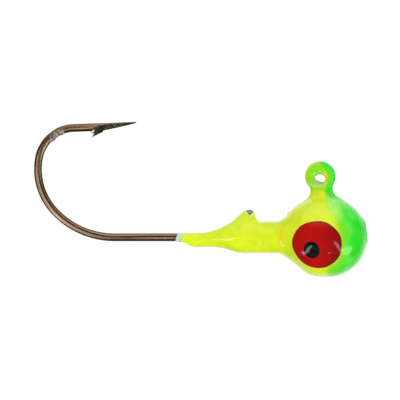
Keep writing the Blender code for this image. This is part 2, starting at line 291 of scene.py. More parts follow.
def turned_field(u, y, h):
    """Ball, shoulder, collar and taper. The shoulder's middle is lifted a little."""
    sunk = h - SHOULDER_LIFT * np.exp(-((u - SHOULDER_LIFT_U) / SHOULDER_LIFT_SPREAD) ** 2)
    r = np.hypot(y, sunk)
    gap = 0.02
    slope = (turned_radius(u + gap) - turned_radius(u - gap)) / (2.0 * gap)
    behind = (r - turned_radius(u)) / np.sqrt(1.0 + slope * slope)
    field = np.where(u > 0.0, np.sqrt(u * u + r * r) - BALL_RADIUS, behind)
    return smooth_max(field, COLLAR_BACK - 4.0 - u, 0.1)


def sprue_field(u, y, h, ball):
    """The clipped sprue: a low cone with a flat face, tilted up a little."""
    tilt = math.radians(SPRUE_TILT)
    beyond = u * math.cos(tilt) + h * math.sin(tilt) - SPRUE_REACH
    off = np.hypot(h * math.cos(tilt) - u * math.sin(tilt) - SPRUE_RISE, y)
    cone = (off - SPRUE_RADIUS + SPRUE_FLARE * beyond) / math.hypot(1.0, SPRUE_FLARE)
    stub = smooth_max(np.maximum(beyond, -beyond - 1.5), cone, 0.18)
    return smooth_min(np.maximum(ball, beyond), stub, 0.22)


def wire_and_tail_field(u, y, h):
    """The painted shank behind the taper, and the half-round tail that hangs under it."""
    wire = np.hypot(y, h + PAINTED_WIRE_SAG) - PAINTED_WIRE_RADIUS
    wire = smooth_max(wire, u, 0.1)
    slant = math.radians(TAIL_HEEL_SLANT)
    heel = -(u - TAIL_HEEL[0]) * math.sin(slant) - (h - TAIL_HEEL[1]) * math.cos(slant)
    tail = smooth_max(np.hypot(y, h + TAIL_DROP) - TAIL_RADIUS, heel, 0.25)
    tail = smooth_max(tail, u - TAIL_FRONT, 0.5)
    end = CHARTREUSE_END + CHARTREUSE_SLANT * h - u
    return smooth_max(smooth_min(wire, tail, 0.18), end, 0.10)


def fin_field(u, y, h):
    """The bait-keeper's spike, widest at its foot and narrow where it runs out on the shank."""
    outline = polygon(u, h, FIN_OUTLINE)
    half_width = FIN_TOP_HALF_WIDTH + FIN_SPREAD * (FIN_TOP - h)
    from_end = u - FIN_OUTLINE[0][0]
    half_width = np.minimum(half_width, FIN_END_HALF_WIDTH + FIN_END_SPREAD * from_end)
    return smooth_max(outline, (np.abs(y) - half_width) * 0.9, 0.55)


def ring_field(x, y, z):
    """The painted ring. It is thickest at its top, so its round hole sits low in it.

    Toward each place round the ring, half is half the way from the hole's circle to the outline.
    """
    hole_x, hole_z = RING_HOLE_CENTRE
    out = np.maximum(np.hypot(x, z), 1e-6)
    toward = (hole_x * x + hole_z * z) / out
    rest = RING_HOLE_RADIUS ** 2 - hole_x ** 2 - hole_z ** 2
    half = (RING_OUTER - toward - np.sqrt(rest + toward ** 2)) / 2.0
    across = (out - (RING_OUTER - half)) / half
    return (np.hypot(across, y / RING_DEPTH) - 1.0) * 0.6


def coated_ring_field(x, y, z):
    """The wire's ring under a thin coat, which shows where the thick paint stops short of it."""
    return np.hypot(np.hypot(x, z) - RING_RADIUS, y) - WIRE_RADIUS - RING_COAT


def film_field(x, y, z):
    """Paint caught in the bottom of the ring, under a slanting edge."""
    slant = math.radians(FILM_SLANT)
    edge = (x - FILM_EDGE[0]) * math.sin(slant) + (z - FILM_EDGE[1]) * math.cos(slant)
    film = smooth_max(np.abs(y - FILM_Y) - FILM_HALF_DEPTH, edge, 0.12)
    return np.maximum(film, np.hypot(x, z - FILM_CENTRE_Z) - FILM_RADIUS)


def neck_field(x, y, z):
    """The boss round the ring's foot, flared at its front, where the wire's riser stands in it."""
    size_x, size_y = NECK_HALF_SIZE
    flare = NECK_FLARE * np.maximum(NECK_FLARE_TOP - z, 0.0)
    size_x = size_x + np.where(x > NECK_X, flare, 0.0)
    column = (np.hypot((x - NECK_X) / size_x, y / size_y) - 1.0) * size_y
    column = smooth_max(column, z - NECK_TOP, 0.5)
    over = np.maximum(z - RISER_TOP, 0.0)
    riser = np.sqrt((x - RISER_X) ** 2 + y * y + over * over) - RISER_RADIUS
    return np.maximum(smooth_min(column, riser, 0.3), -6.5 - z)


def bare_head(p):
    """The painted head without its ripples and chip."""
    x, y, z = p[:, 0], p[:, 1], p[:, 2]
    u, _, h = head_place(p)
    field = sprue_field(u, y, h, turned_field(u, y, h))
    field = smooth_min(field, wire_and_tail_field(u, y, h), 0.50)
    field = smooth_min(field, fin_field(u, y, h), 0.60)
    nib = np.sqrt((u - NIB[0]) ** 2 + (2.0 * y) ** 2 + (h - NIB[1]) ** 2) - NIB_RADIUS
    field = smooth_min(field, nib, 0.12)
    loop = smooth_min(ring_field(x, y, z), coated_ring_field(x, y, z), 0.06)
    loop = smooth_min(loop, film_field(x, y, z), 0.10)
    loop = smooth_min(loop, neck_field(x, y, z), 0.22)
    return smooth_min(field, loop, 1.0)


def seam(p):
    """Height of the mould's parting line, a faint ridge in the hook's plane."""
    ridge = SEAM_HEIGHT * np.exp(-(p[:, 1] / SEAM_HALF_WIDTH) ** 2)
    return ridge * (0.6 + 0.4 * ripple(p, 3.0, 5))


def chip_field(p):
    """Distance to the chipped patch at the keeper's tip, seen from the side; negative inside."""
    u, y, h = head_place(p)
    jag = 0.016 * ripple(p, 0.22, 11)
    return polygon(u + 0.06 * y, h, CHIP_OUTLINE) + jag


def soft_spot(across, up, spot):
    """1 in the middle of an oval spot (its two places, half length, half height), 0 far from it."""
    middle_across, middle_up, length, height = spot
    return np.exp(-((across - middle_across) / length) ** 2 - ((up - middle_up) / height) ** 2)


def skin_field(p):
    """The paint's outer surface, which dives under the lead inside the chip."""
    waves = 0.009 * ripple(p, 2.1, 1) + 0.0012 * ripple(p, 0.75, 2)
    dig = CHIP_DEPTH * smooth_step(0.02, -0.05, chip_field(p))
    u, _, h = head_place(p)
    bump = COLLAR_BUMP[4] * soft_spot(u, h, COLLAR_BUMP[:4])
    return bare_head(p) - waves - seam(p) + dig - bump


def tip_distance(p):
    """Distance from the keeper's broken tip, seen from the side."""
    u, _, h = head_place(p)
    return np.hypot(u - CHIP_TIP[0], h - CHIP_TIP[1])


def tip_nearness(p):
    """1 at the keeper's broken tip, 0 a millimetre away."""
    return smooth_step(1.15, 0.75, tip_distance(p))


def lead_field(p):
    """The casting under its paint, torn where the chip bares it, with no lead in the ring."""
    near = tip_nearness(p) * smooth_step(0.12, -0.02, chip_field(p))
    torn = near * (0.030 * ripple(p, 0.42, 21) + 0.022 * ripple(p, 0.17, 22))
    pits = 0.008 * ripple(p, 0.9, 23)
    ring_side = smooth_step(-4.6, -3.9, p[:, 2]) * smooth_step(-3.0, -2.0, p[:, 0])
    field = bare_head(p) + PAINT * (1.0 - 0.80 * near) - torn - pits + 0.9 * ring_side
    return smooth_max(field, BALL_X + LEAD_END - p[:, 0], 0.1)


def base_coat_field(p):
    """The pale base coat, which shows as a band on the shank behind the paint."""
    u, y, h = head_place(p)
    tube = np.hypot(y, h + BASE_COAT_SAG) - BASE_COAT_RADIUS - 0.006 * ripple(p, 0.8, 31)
    slanted = u - BASE_COAT_SLANT * h + 0.04 * ripple(p, 0.9, 32)
    tube = smooth_max(tube, BASE_COAT_END - slanted, 0.06)
    return smooth_max(tube, slanted - (CHARTREUSE_END + BASE_COAT_OVERLAP), 0.06)


# ---- the wire ----------------------------------------------------------------------------------

class Route:
    """The wire's centre line in the plane y = 0, as straight runs and tangent arcs."""

    def __init__(self, x, z, heading):
        self.x, self.z, self.heading = x, z, math.radians(heading)
        self.length = 0.0
        self.parts = []

    def run(self, length):
        self.parts.append(('run', self.x, self.z, self.heading, length, self.length))
        self.x += length * math.cos(self.heading)
        self.z += length * math.sin(self.heading)
        self.length += length

    def turn(self, radius, degrees):
        """Positive degrees turn from +X towards +Z."""
        side = math.copysign(1.0, degrees)
        sweep = math.radians(abs(degrees))
        cx = self.x - side * radius * math.sin(self.heading)
        cz = self.z + side * radius * math.cos(self.heading)
        self.parts.append(('turn', cx, cz, radius, side, self.heading, sweep, self.length))
        self.heading += side * sweep
        self.x = cx + side * radius * math.sin(self.heading)
        self.z = cz - side * radius * math.cos(self.heading)
        self.length += radius * sweep

    def place(self, x, z):
        """For points in the plane: the place along the wire, the height to its left, the miss."""
        best = np.full(x.shape, 1e9)
        along = np.zeros(x.shape)
        left = np.zeros(x.shape)
        for part in self.parts:
            if part[0] == 'run':
                _, x0, z0, heading, length, start = part
                raw = (x - x0) * math.cos(heading) + (z - z0) * math.sin(heading)
                up = (z - z0) * math.cos(heading) - (x - x0) * math.sin(heading)
                over = np.maximum(np.maximum(-raw, raw - length), 0.0)
                reach = start + np.clip(raw, 0.0, length)
            else:
                _, cx, cz, radius, side, heading, sweep, start = part
                angle = np.arctan2(side * (x - cx), -side * (z - cz)) - heading
                angle = (side * angle + math.pi) % (2.0 * math.pi) - math.pi
                middle = sweep / 2.0
                angle = (angle - middle + math.pi) % (2.0 * math.pi) - math.pi + middle
                span = np.hypot(x - cx, z - cz)
                up = side * (radius - span)
                over = np.maximum(np.maximum(-angle, angle - sweep), 0.0) * span
                reach = start + radius * np.clip(angle, 0.0, sweep)
            miss = np.hypot(up, over)
            nearer = miss < best
            best = np.where(nearer, miss, best)
            along = np.where(nearer, reach, along)
            left = np.where(nearer, up, left)
        return along, left, best


def wire_route():
    """The route from the ring's cut end to where the point's taper starts."""
    angle = math.radians(RING_END_ANGLE)
    x = RING_RADIUS * math.cos(angle) - math.sin(angle) * RING_END_RUN
    z = RING_RADIUS * math.sin(angle) + math.cos(angle) * RING_END_RUN
    route = Route(x, z, RING_END_ANGLE - 90.0)
    route.run(RING_END_RUN)
    route.turn(RING_RADIUS, RING_START_ANGLE - RING_END_ANGLE)
    route.turn(NECK_BEND_RADIUS, -RING_START_ANGLE)
    route.run(route.z + SHANK_DROP - HEAD_BEND_RADIUS)
    route.turn(HEAD_BEND_RADIUS, -90.0)
    route.run(route.x + SHANK_BACK)
    for radius, degrees in BEND_ARCS:
        route.turn(radius, -degrees)
    route.run(SPEAR_RUN)
    return route


ROUTE = wire_route()
TIP = (ROUTE.x, ROUTE.z, ROUTE.heading)
LAST_ARC_START = ROUTE.length - SPEAR_RUN - BEND_ARCS[-1][0] * math.radians(BEND_ARCS[-1][1])
ROUTE.run(POINT_RUN + 1.0)


def point_frame(p):
    """Places near the point: s along the spear from where its taper starts, t upwards."""
    x0, z0, heading = TIP
    s = (p[:, 0] - x0) * math.cos(heading) + (p[:, 2] - z0) * math.sin(heading)
    t = (p[:, 2] - z0) * math.cos(heading) - (p[:, 0] - x0) * math.sin(heading)
    return s, t


def round_wire(p):
    """Distance from the unground wire's surface, the place along it and the height to its left."""
    along, left, miss = ROUTE.place(p[:, 0], p[:, 2])
    return np.hypot(miss, p[:, 1]) - WIRE_RADIUS, along, left


def hook_field(p):
    """The wire with its ground point: a taper under a straight back, two facets and a barb."""
    s, t = point_frame(p)
    y = p[:, 1]
    wire, _, _ = round_wire(p)
    radius = WIRE_RADIUS * np.clip(1.0 - s / POINT_RUN, 0.0, 1.0) ** POINT_POWER
    taper = np.hypot(t - POINT_SHIFT * (WIRE_RADIUS - radius), y) - radius
    field = np.where((s > 0.0) & (np.abs(t) < 2.0), taper, wire)
    blade = np.abs(y) - BLADE_SLOPE * (POINT_RUN - s) + BLADE_LEAN * (WIRE_RADIUS - t)
    blade = blade * 0.95
    near_spear = (s > -2.5) & (np.abs(t) < 2.0)
    field = np.where(near_spear, smooth_max(field, blade, 0.03), field)
    near_barb = (s > -3.0) & (s < 2.0) & (np.abs(t) < 3.0)
    ps, pt = s[near_barb], t[near_barb]
    from_tip = np.clip((pt - BARB_TIP_HEIGHT) / BARB_WIDENING, 0.0, 1.0)
    width = BARB_TIP_HALF_WIDTH + BARB_SPREAD * from_tip
    width = np.minimum(width, BARB_BACK_HALF_WIDTH + BARB_BACK_SPREAD * (ps - BARB[3][0]))
    barb = smooth_max(polygon(ps, pt, BARB), (np.abs(y[near_barb]) - width) * 0.85, 0.03)
    field[near_barb] = smooth_min(field[near_barb], barb, 0.04)
    return field - 0.002 * ripple(p, 0.5, 41)


def residue_field(p):
    """Dried lacquer: a lumpy shell round its stretch of the bend, with its inside in the wire."""
    wire, along, left = round_wire(p)
    arc = along - LAST_ARC_START
    swell = sum(share * np.exp(-((arc - place) / spread) ** 2)
                for place, spread, share in RESIDUE_SWELLS)
    run = np.exp(-((arc - RESIDUE_RUN[0]) / RESIDUE_RUN[1]) ** 2) * smooth_step(-0.1, -0.55, left)
    height = RESIDUE_SWELL_HEIGHT * swell + RESIDUE_RUN_HEIGHT * run - RESIDUE_SINK
    height = height + 0.022 * ripple(p, 0.7, 51) + 0.008 * ripple(p, 0.3, 52)
    shell = np.maximum(wire - height, -wire - RESIDUE_DEPTH)
    ends = np.maximum(RESIDUE_SPAN[0] - arc, arc - RESIDUE_SPAN[1])
    return smooth_max(shell, ends, 0.08)


# ---- meshing -----------------------------------------------------------------------------------

def cloud(axes):
    """All points of a grid, one to a row."""
    return np.stack(np.meshgrid(*axes, indexing='ij'), axis=-1).reshape(-1, 3)


def sampled(field, low, high, step):
    """The field on a grid. Only points near the surface get their own value."""
    counts = [math.ceil((b - a) / (step * COARSE)) * COARSE + 1 for a, b in zip(low, high)]
    axes = [a + step * np.arange(count) for a, count in zip(low, counts)]
    rough_axes = [axis[::COARSE] for axis in axes]
    rough = field(cloud(rough_axes)).reshape([len(axis) for axis in rough_axes])
    for axis, count in enumerate(counts):
        rough = rough.take((np.arange(count) + COARSE // 2) // COARSE, axis=axis)
    near = np.nonzero(np.abs(rough) < step * COARSE * 1.4)
    spots = np.stack([axis[index] for axis, index in zip(axes, near)], axis=-1)
    values = rough.copy()
    values[near] = field(spots)
    return values


def surface_net(values, low, step):
    """One vertex in each cell that the surface crosses, and a quad round each edge it crosses."""
    inside = values < 0.0
    corners = np.zeros([count - 1 for count in inside.shape], np.int8)
    for i in (0, 1):
        for j in (0, 1):
            for k in (0, 1):
                corners += inside[i:inside.shape[0] - 1 + i, j:inside.shape[1] - 1 + j,
                                  k:inside.shape[2] - 1 + k]
    mixed = (corners > 0) & (corners < 8)
    index = np.full(mixed.shape, -1)
    index[mixed] = np.arange(mixed.sum())
    verts = np.array(low) + (np.argwhere(mixed) + 0.5) * step
    quads = []
    for axis in range(3):
        lower = inside.take(range(inside.shape[axis] - 1), axis=axis)
        upper = inside.take(range(1, inside.shape[axis]), axis=axis)
        for start, flip in ((lower & ~upper, False), (upper & ~lower, True)):
            cell = np.argwhere(start)
            one, two = np.zeros(3, int), np.zeros(3, int)
            one[(axis + 1) % 3] = 1
            two[(axis + 2) % 3] = 1
            loop = [index[tuple((cell - shift).T)] for shift in (one + two, two, 0 * one, one)]
            quad = np.stack(loop, axis=-1)
            quads.append(quad[:, ::-1] if flip else quad)
    return verts, np.concatenate(quads)


def gradient(points, field, gap=0.008):
    """A field's slope at points, by central differences."""
    slopes = []
    for axis in range(3):
        shift = np.zeros(3)
        shift[axis] = gap
        slopes.append((field(points + shift) - field(points - shift)) / (2.0 * gap))
    return np.stack(slopes, axis=-1)


def settle(points, field, reach, rounds):
    """Slide points along the field's slope onto its surface, at most reach at a time."""
    for _ in range(rounds):
        slope = gradient(points, field)
        steep = np.maximum((slope * slope).sum(axis=1), 0.15)
        move = -slope * (field(points) / steep)[:, None]
        size = np.linalg.norm(move, axis=1)
        points = points + move * (np.minimum(1.0, reach / np.maximum(size, 1e-9)))[:, None]
    return points


def neighbour_mean(values, starts, ends):
    """Each vertex's mean over its neighbours, from directed edges."""
    count = np.maximum(np.bincount(starts, minlength=len(values)), 1)
    columns = [np.bincount(starts, column, minlength=len(values)) for column in values[ends].T]
    return np.stack(columns, axis=-1) / count[:, None]


def directed_edges(mesh):
    pairs = np.empty(len(mesh.edges) * 2, np.int32)
    mesh.edges.foreach_get('vertices', pairs)
    pairs = pairs.reshape(-1, 2)
    return np.concatenate((pairs[:, 0], pairs[:, 1])), np.concatenate((pairs[:, 1], pairs[:, 0]))


def spots_of(mesh):
    """A mesh's vertices in millimetres."""
    flat = np.empty(len(mesh.vertices) * 3)
    mesh.vertices.foreach_get('co', flat)
    return flat.reshape(-1, 3) / MM


def place_spots(mesh, points):
    """Move a mesh's vertices to points given in millimetres."""
    mesh.vertices.foreach_set('co', (points * MM).ravel())
    mesh.update()


def refine(mesh, chosen):
    """Halve the faces whose centres pass chosen, an array test in millimetres."""
    bm = bmesh.new()
    bm.from_mesh(mesh)
    faces = list(bm.faces)
    centres = np.array([face.calc_center_median() for face in faces]) / MM
    edges = {edge for face, take in zip(faces, chosen(centres)) if take for edge in face.edges}
    order = sorted(edges, key=lambda edge: edge.index)
    bmesh.ops.subdivide_edges(bm, edges=order, cuts=1, use_grid_fill=True)
    bm.to_mesh(mesh)
    bm.free()


def new_object(name, mesh, material, replaced, sharp=None):
    """Add a piece to the scene. Its edges over sharp degrees, if given, stay crisp."""
    thing = bpy.data.objects.new(name, mesh)
    bpy.context.scene.collection.objects.link(thing)
    mesh.shade_smooth()
    if sharp:
        mesh.set_sharp_from_angle(angle=math.radians(sharp))
    mesh.materials.append(material)
    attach(thing, "root")
    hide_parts(*replaced)
    return thing


def level_mesh(name, field, low, high, step, fine=()):
    """The mesh of a field's surface inside a box, halved once for each test in fine."""
    step *= DETAIL
    verts, quads = surface_net(sampled(field, low, high, step), low, step)
    mesh = bpy.data.meshes.new(name)
    mesh.from_pydata(verts * MM, [], quads)
    for turn in range(len(fine) + 1):
        points = settle(spots_of(mesh), field, step, 3)
        starts, ends = directed_edges(mesh)
        for _ in range(3):
            points = 0.4 * points + 0.6 * neighbour_mean(points, starts, ends)
            points = settle(points, field, step, 1)
        place_spots(mesh, settle(points, field, step, 2))
        if turn < len(fine):
            refine(mesh, fine[turn])
    return mesh


def add_values(mesh, name, values):
    """Store a number, or a vector, at each vertex for the materials to read."""
    kind = 'FLOAT' if values.ndim == 1 else 'FLOAT_VECTOR'
    layer = mesh.attributes.new(name, kind, 'POINT')
    layer.data.foreach_set('value' if values.ndim == 1 else 'vector', values.ravel())


def hollowness(mesh, rounds, size):
    """About -1 on a sharp ridge and 1 in a tight hollow, blurred over neighbours."""
    starts, ends = directed_edges(mesh)
    points = spots_of(mesh)
    normals = np.empty(len(points) * 3)
    mesh.vertices.foreach_get('normal', normals)
    normals = normals.reshape(-1, 3)
    blurred = points
    for _ in range(rounds):
        blurred = neighbour_mean(blurred, starts, ends)
    lift = ((blurred - points) * normals).sum(axis=1)[:, None]
    for _ in range(rounds):
        lift = neighbour_mean(lift, starts, ends)
    return np.clip(lift[:, 0] / size, -1.0, 1.0)


# ---- materials ---------------------------------------------------------------------------------

class Shader:
    """A material with one Principled BSDF and short calls for the nodes that feed it."""

    def __init__(self, name, **sockets):
        self.material = bpy.data.materials.new(name)
        self.material.use_nodes = True
        self.tree = self.material.node_tree
        self.bsdf = self.tree.nodes['Principled BSDF']
        self.place = self.tree.nodes.new('ShaderNodeTexCoord').outputs['Object']
        for socket, value in sockets.items():
            self.bsdf.inputs[socket.replace('_', ' ')].default_value = value

    def put(self, socket, source):
        if isinstance(source, bpy.types.NodeSocket):
            self.tree.links.new(source, socket)
        else:
            socket.default_value = source

    def node(self, kind, inputs, **settings):
        node = self.tree.nodes.new(kind)
        for key, value in settings.items():
            setattr(node, key, value)
        for key, source in inputs.items():
            self.put(node.inputs[key], source)
        return node

    def noise(self, per_mm, detail=2.0, rough=0.5, vector=None):
        """Noise with about per_mm cells to the millimetre, or to the unit of another vector."""
        scale = per_mm / MM if vector is None else per_mm
        inputs = {'Vector': vector or self.place, 'Scale': scale, 'Detail': detail,
                  'Roughness': rough}
        return self.node('ShaderNodeTexNoise', inputs).outputs['Fac']

    def value(self, name):
        return self.node('ShaderNodeAttribute', {}, attribute_name=name).outputs['Fac']

    def vector(self, name):
        return self.node('ShaderNodeAttribute', {}, attribute_name=name).outputs['Vector']

    def stretch(self, source, scale):
        node = self.node('ShaderNodeVectorMath', {0: source, 1: scale}, operation='MULTIPLY')
        return node.outputs['Vector']

    def math(self, operation, one, two):
        node = self.node('ShaderNodeMath', {0: one, 1: two}, operation=operation)
        return node.outputs['Value']

    def between(self, source, low, high, start=0.0, end=1.0):
        """From start, where source is low, smoothly to end, where it is high."""
        inputs = {'Value': source, 'From Min': low, 'From Max': high,
                  'To Min': start, 'To Max': end}
        node = self.node('ShaderNodeMapRange', inputs, interpolation_type='SMOOTHSTEP')
        return node.outputs['Result']

    def uneven(self, per_mm, low, high, detail=3.0):
        """A number that wanders between low and high over the surface."""
        return self.between(self.noise(per_mm, detail), 0.3, 0.7, low, high)

    def mix(self, share, one, two):
        node = self.tree.nodes.new('ShaderNodeMix')
        node.data_type = 'RGBA'
        for key, source in ((0, share), (6, one), (7, two)):
            if isinstance(source, tuple):
                source = (*source, 1.0)
            self.put(node.inputs[key], source)
        return node.outputs[2]

    def bump(self, height, strength, distance, normal=None):
        inputs = {'Height': height, 'Strength': strength, 'Distance': distance * MM}
        if normal is not None:
            inputs['Normal'] = normal
        return self.node('ShaderNodeBump', inputs).outputs['Normal']

    def finish(self, colour=None, roughness=None, normal=None):
        sources = {'Base Color': colour, 'Roughness': roughness, 'Normal': normal}
        for socket, source in sources.items():
            if source is not None:
                self.put(self.bsdf.inputs[socket], source)
        return self.material


CLEAR_COAT = {'Coat_Weight': 1.0, 'Coat_IOR': 1.5, 'Specular_IOR_Level': 0.1}
CHARTREUSE = (0.74, 0.87, 0.022)
CHARTREUSE_DEEP = (0.62, 0.80, 0.008)
# Darker yellow in hollows: partly pooled thick paint, partly painted shade.
POOLED_YELLOW_AND_SHADE = (0.78, 0.72, 0.008)
GREEN = (0.025, 0.76, 0.02)
PALE_GREEN = (0.12, 0.84, 0.09)
# Painted highlight: paler green for the spray's soft edge on the upper ball and neck.
HIGHLIGHT_PALE_GREEN = (0.36, 0.90, 0.11)
LEAF_GREEN = (0.19, 0.74, 0.015)
CHIP_EDGE = (0.80, 0.88, 0.35)
# Dark olive of the paint in the ring's hole: partly thin paint over lead, partly painted shade.
FILM_OLIVE_AND_SHADE = (0.38, 0.36, 0.12)
FILM_PALE = (0.58, 0.64, 0.22)
# Painted highlight, pale green, under the paint in the ring's hole.
FILM_HIGHLIGHT = (0.50, 0.80, 0.28)
RED = (0.53, 0.003, 0.003)
RED_DEEP = (0.37, 0.002, 0.002)
# Painted shade on the iris, towards the nose.
RED_PAINTED_SHADE = (0.23, 0.002, 0.002)
RED_RIM = (0.16, 0.004, 0.002)
BLACK = (0.004, 0.004, 0.005)
BLACK_WORN = (0.014, 0.014, 0.016)
BASE_WHITE = (0.62, 0.78, 0.70)
BASE_THIN = (0.42, 0.52, 0.46)
LEAD_DARK = (0.11, 0.11, 0.12)
LEAD_PALE = (0.50, 0.50, 0.53)
BRONZE = (0.56, 0.36, 0.235)
BRONZE_DARK = (0.15, 0.085, 0.045)
# Pale streaks on the bronze: die streaks and partly painted reflection.
BRONZE_STREAK_SHEEN = (0.80, 0.60, 0.44)
BRONZE_OLIVE = (0.13, 0.13, 0.06)
BRONZE_EDGE = (0.45, 0.38, 0.28)
GROUND_STEEL = (0.035, 0.038, 0.022)
GROUND_STEEL_PALE = (0.14, 0.16, 0.09)
CUT_STEEL = (0.50, 0.44, 0.31)
LACQUER_BROWN = (0.10, 0.075, 0.048)
LACQUER_GREY = (0.52, 0.49, 0.40)
PAPER = (0.90, 0.90, 0.90)
PAPER_PALE = (0.94, 0.94, 0.94)


def paint_material():
    """Glossy chartreuse, yellow in hollows from thick paint and painted shade, sprayed green at the
    front.
    """
    s = Shader('chartreuse_paint', Coat_Roughness=0.03, **CLEAR_COAT)
    cloud_noise = s.noise(0.55, 3.0)
    colour = s.mix(s.between(cloud_noise, 0.35, 0.70), CHARTREUSE, CHARTREUSE_DEEP)
    # Yellow in hollows: partly pooled paint, partly painted shade.
    hollow = s.value('hollow')
    colour = s.mix(s.between(hollow, 0.04, 0.95, 0.0, 0.85), colour, POOLED_YELLOW_AND_SHADE)
    speckle = s.math('SUBTRACT', s.noise(14.0, 2.0, 0.6), 0.5)
    edge = s.math('ADD', s.value('spray'), s.math('MULTIPLY', speckle, 0.28))
    green = s.mix(s.between(s.noise(0.45, 2.0), 0.40, 0.72), GREEN, PALE_GREEN)
    # Painted highlight: the spray's soft edge is paler green on the upper band.
    edge_green_with_highlight = s.mix(s.value('upper'), LEAF_GREEN, HIGHLIGHT_PALE_GREEN)
    colour = s.mix(s.between(edge, 0.05, 0.55), colour, edge_green_with_highlight)
    colour = s.mix(s.between(edge, 0.50, 0.95), colour, green)
    colour = s.mix(s.value('chip_edge'), colour, CHIP_EDGE)
    # The hanging paint's dark olive is partly its thin coat and partly painted shade of the hole.
    film = s.mix(s.between(s.noise(1.6, 2.0), 0.40, 0.60), FILM_OLIVE_AND_SHADE, FILM_PALE)
    colour = s.mix(s.value('film'), colour, film)
    # Painted highlight: a pale arc under the paint that hangs in the ring's hole.
    colour = s.mix(s.value('film_highlight'), colour, FILM_HIGHLIGHT)
    roughness = s.uneven(3.0, 0.20, 0.32)
    normal = s.bump(s.noise(3.2, 2.0), 0.25, 0.006)
    return s.finish(colour, roughness, normal)


def iris_material():
    """Glossy red, uneven in depth, with a darker rolled rim and painted shade towards the nose."""
    s = Shader('red_paint', Coat_Roughness=0.02, **CLEAR_COAT)
    patch = s.noise(0.5, 2.0)
    colour = s.mix(s.between(patch, 0.35, 0.7, 0.0, 0.4), RED, RED_DEEP)
    # Painted shade: the red darkens towards the nose.
    colour = s.mix(s.value('front'), colour, RED_PAINTED_SHADE)
    colour = s.mix(s.between(s.value('rim'), 0.90, 0.985, 0.0, 0.75), colour, RED_RIM)
    roughness = s.uneven(4.0, 0.18, 0.30, 2.0)
    return s.finish(colour, roughness, s.bump(s.noise(2.6, 2.0), 0.2, 0.006))


def pupil_material():
    """Glossy black, a little worn."""
    s = Shader('black_paint', Coat_Roughness=0.03, **CLEAR_COAT)
    colour = s.mix(s.between(s.noise(1.6, 3.0), 0.4, 0.7), BLACK, BLACK_WORN)
    roughness = s.uneven(4.0, 0.15, 0.30, 2.0)
    return s.finish(colour, roughness, s.bump(s.noise(2.2, 2.0), 0.25, 0.008))


def base_coat_material():
    """Pale base paint, half dull, greyer where it is thin."""
    s = Shader('white_base', Coat_Weight=0.3, Coat_Roughness=0.15)
    thin = s.between(s.noise(1.8, 4.0, 0.6), 0.35, 0.75)
    colour = s.mix(thin, BASE_WHITE, BASE_THIN)
    roughness = s.uneven(5.0, 0.35, 0.55)
    return s.finish(colour, roughness, s.bump(s.noise(6.0, 3.0), 0.35, 0.02))


def lead_material():
    """Bare torn lead, dull and grainy."""
    s = Shader('cast_lead', Metallic=0.45)
    grain = s.noise(3.0, 6.0, 0.7)
    colour = s.mix(s.between(grain, 0.35, 0.68), LEAD_DARK, LEAD_PALE)
    roughness = s.uneven(5.0, 0.35, 0.65, 4.0)
    return s.finish(colour, roughness, s.bump(s.noise(9.0, 5.0, 0.65), 0.6, 0.03))


def bronze_material():
    """Bronzed drawn wire: die streaks and painted reflections, painted olive shade on its inner
    side, olive ground facets.
    """
    s = Shader('bronzed_wire', Metallic=1.0, Specular_Tint=(*BRONZE_EDGE, 1.0))
    drawn = s.stretch(s.vector('wire'), (1.0, 1.0, 0.030))
    wide = s.noise(2.2, 3.0, 0.6, drawn)
    fine = s.noise(9.0, 4.0, 0.65, s.stretch(s.vector('wire'), (1.0, 1.0, 0.018)))
    colour = s.mix(s.between(wide, 0.42, 0.66), BRONZE_DARK, BRONZE)
    # Streaks along the wire, pale and dark: die streaks, and partly painted reflection streaks.
    colour = s.mix(s.between(fine, 0.50, 0.74, 0.0, 0.8), colour, BRONZE_STREAK_SHEEN)
    colour = s.mix(s.between(fine, 0.44, 0.30, 0.0, 0.75), colour, BRONZE_DARK)
    blotch = s.noise(0.9, 4.0, 0.65)
    colour = s.mix(s.between(blotch, 0.56, 0.72, 0.0, 0.55), colour, BRONZE_OLIVE)
    # Painted shade: the wire's inner side, facing the hook's gap, is darkened to olive.
    around = s.node('ShaderNodeSeparateXYZ', {0: s.vector('wire')}).outputs['X']
    inner = s.math('MULTIPLY', s.between(around, -0.35, -0.85), s.between(wide, 0.30, 0.60))
    colour = s.mix(s.math('MULTIPLY', inner, 0.55), colour, BRONZE_OLIVE)
    filed = s.noise(3.6, 3.0, 0.6)
    ground = s.mix(s.between(filed, 0.46, 0.66), GROUND_STEEL, GROUND_STEEL_PALE)
    colour = s.mix(s.value('ground'), colour, ground)
    colour = s.mix(s.value('cut'), colour, CUT_STEEL)
    roughness = s.between(fine, 0.3, 0.7, 0.22, 0.42)
    normal = s.bump(fine, 0.35, 0.012)
    normal = s.bump(s.noise(6.0, 3.0), 0.15, 0.010, normal)
    return s.finish(colour, roughness, normal)


def lacquer_material():
    """Cloudy lacquer that lets the bronze show through."""
    s = Shader('dried_lacquer', Alpha=0.50)
    cloudy = s.between(s.noise(2.2, 3.0, 0.6), 0.44, 0.60)
    colour = s.mix(cloudy, LACQUER_BROWN, LACQUER_GREY)
    roughness = s.uneven(5.0, 0.22, 0.5)
    return s.finish(colour, roughness, s.bump(s.noise(7.0, 3.0), 0.35, 0.02))


# ---- pieces ------------------------------------------------------------------------------------

def box_round(node, margin):
    """A CAD node's box in millimetres, with a margin all round."""
    low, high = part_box(node)
    return ([value / MM - margin for value in low], [value / MM + margin for value in high])


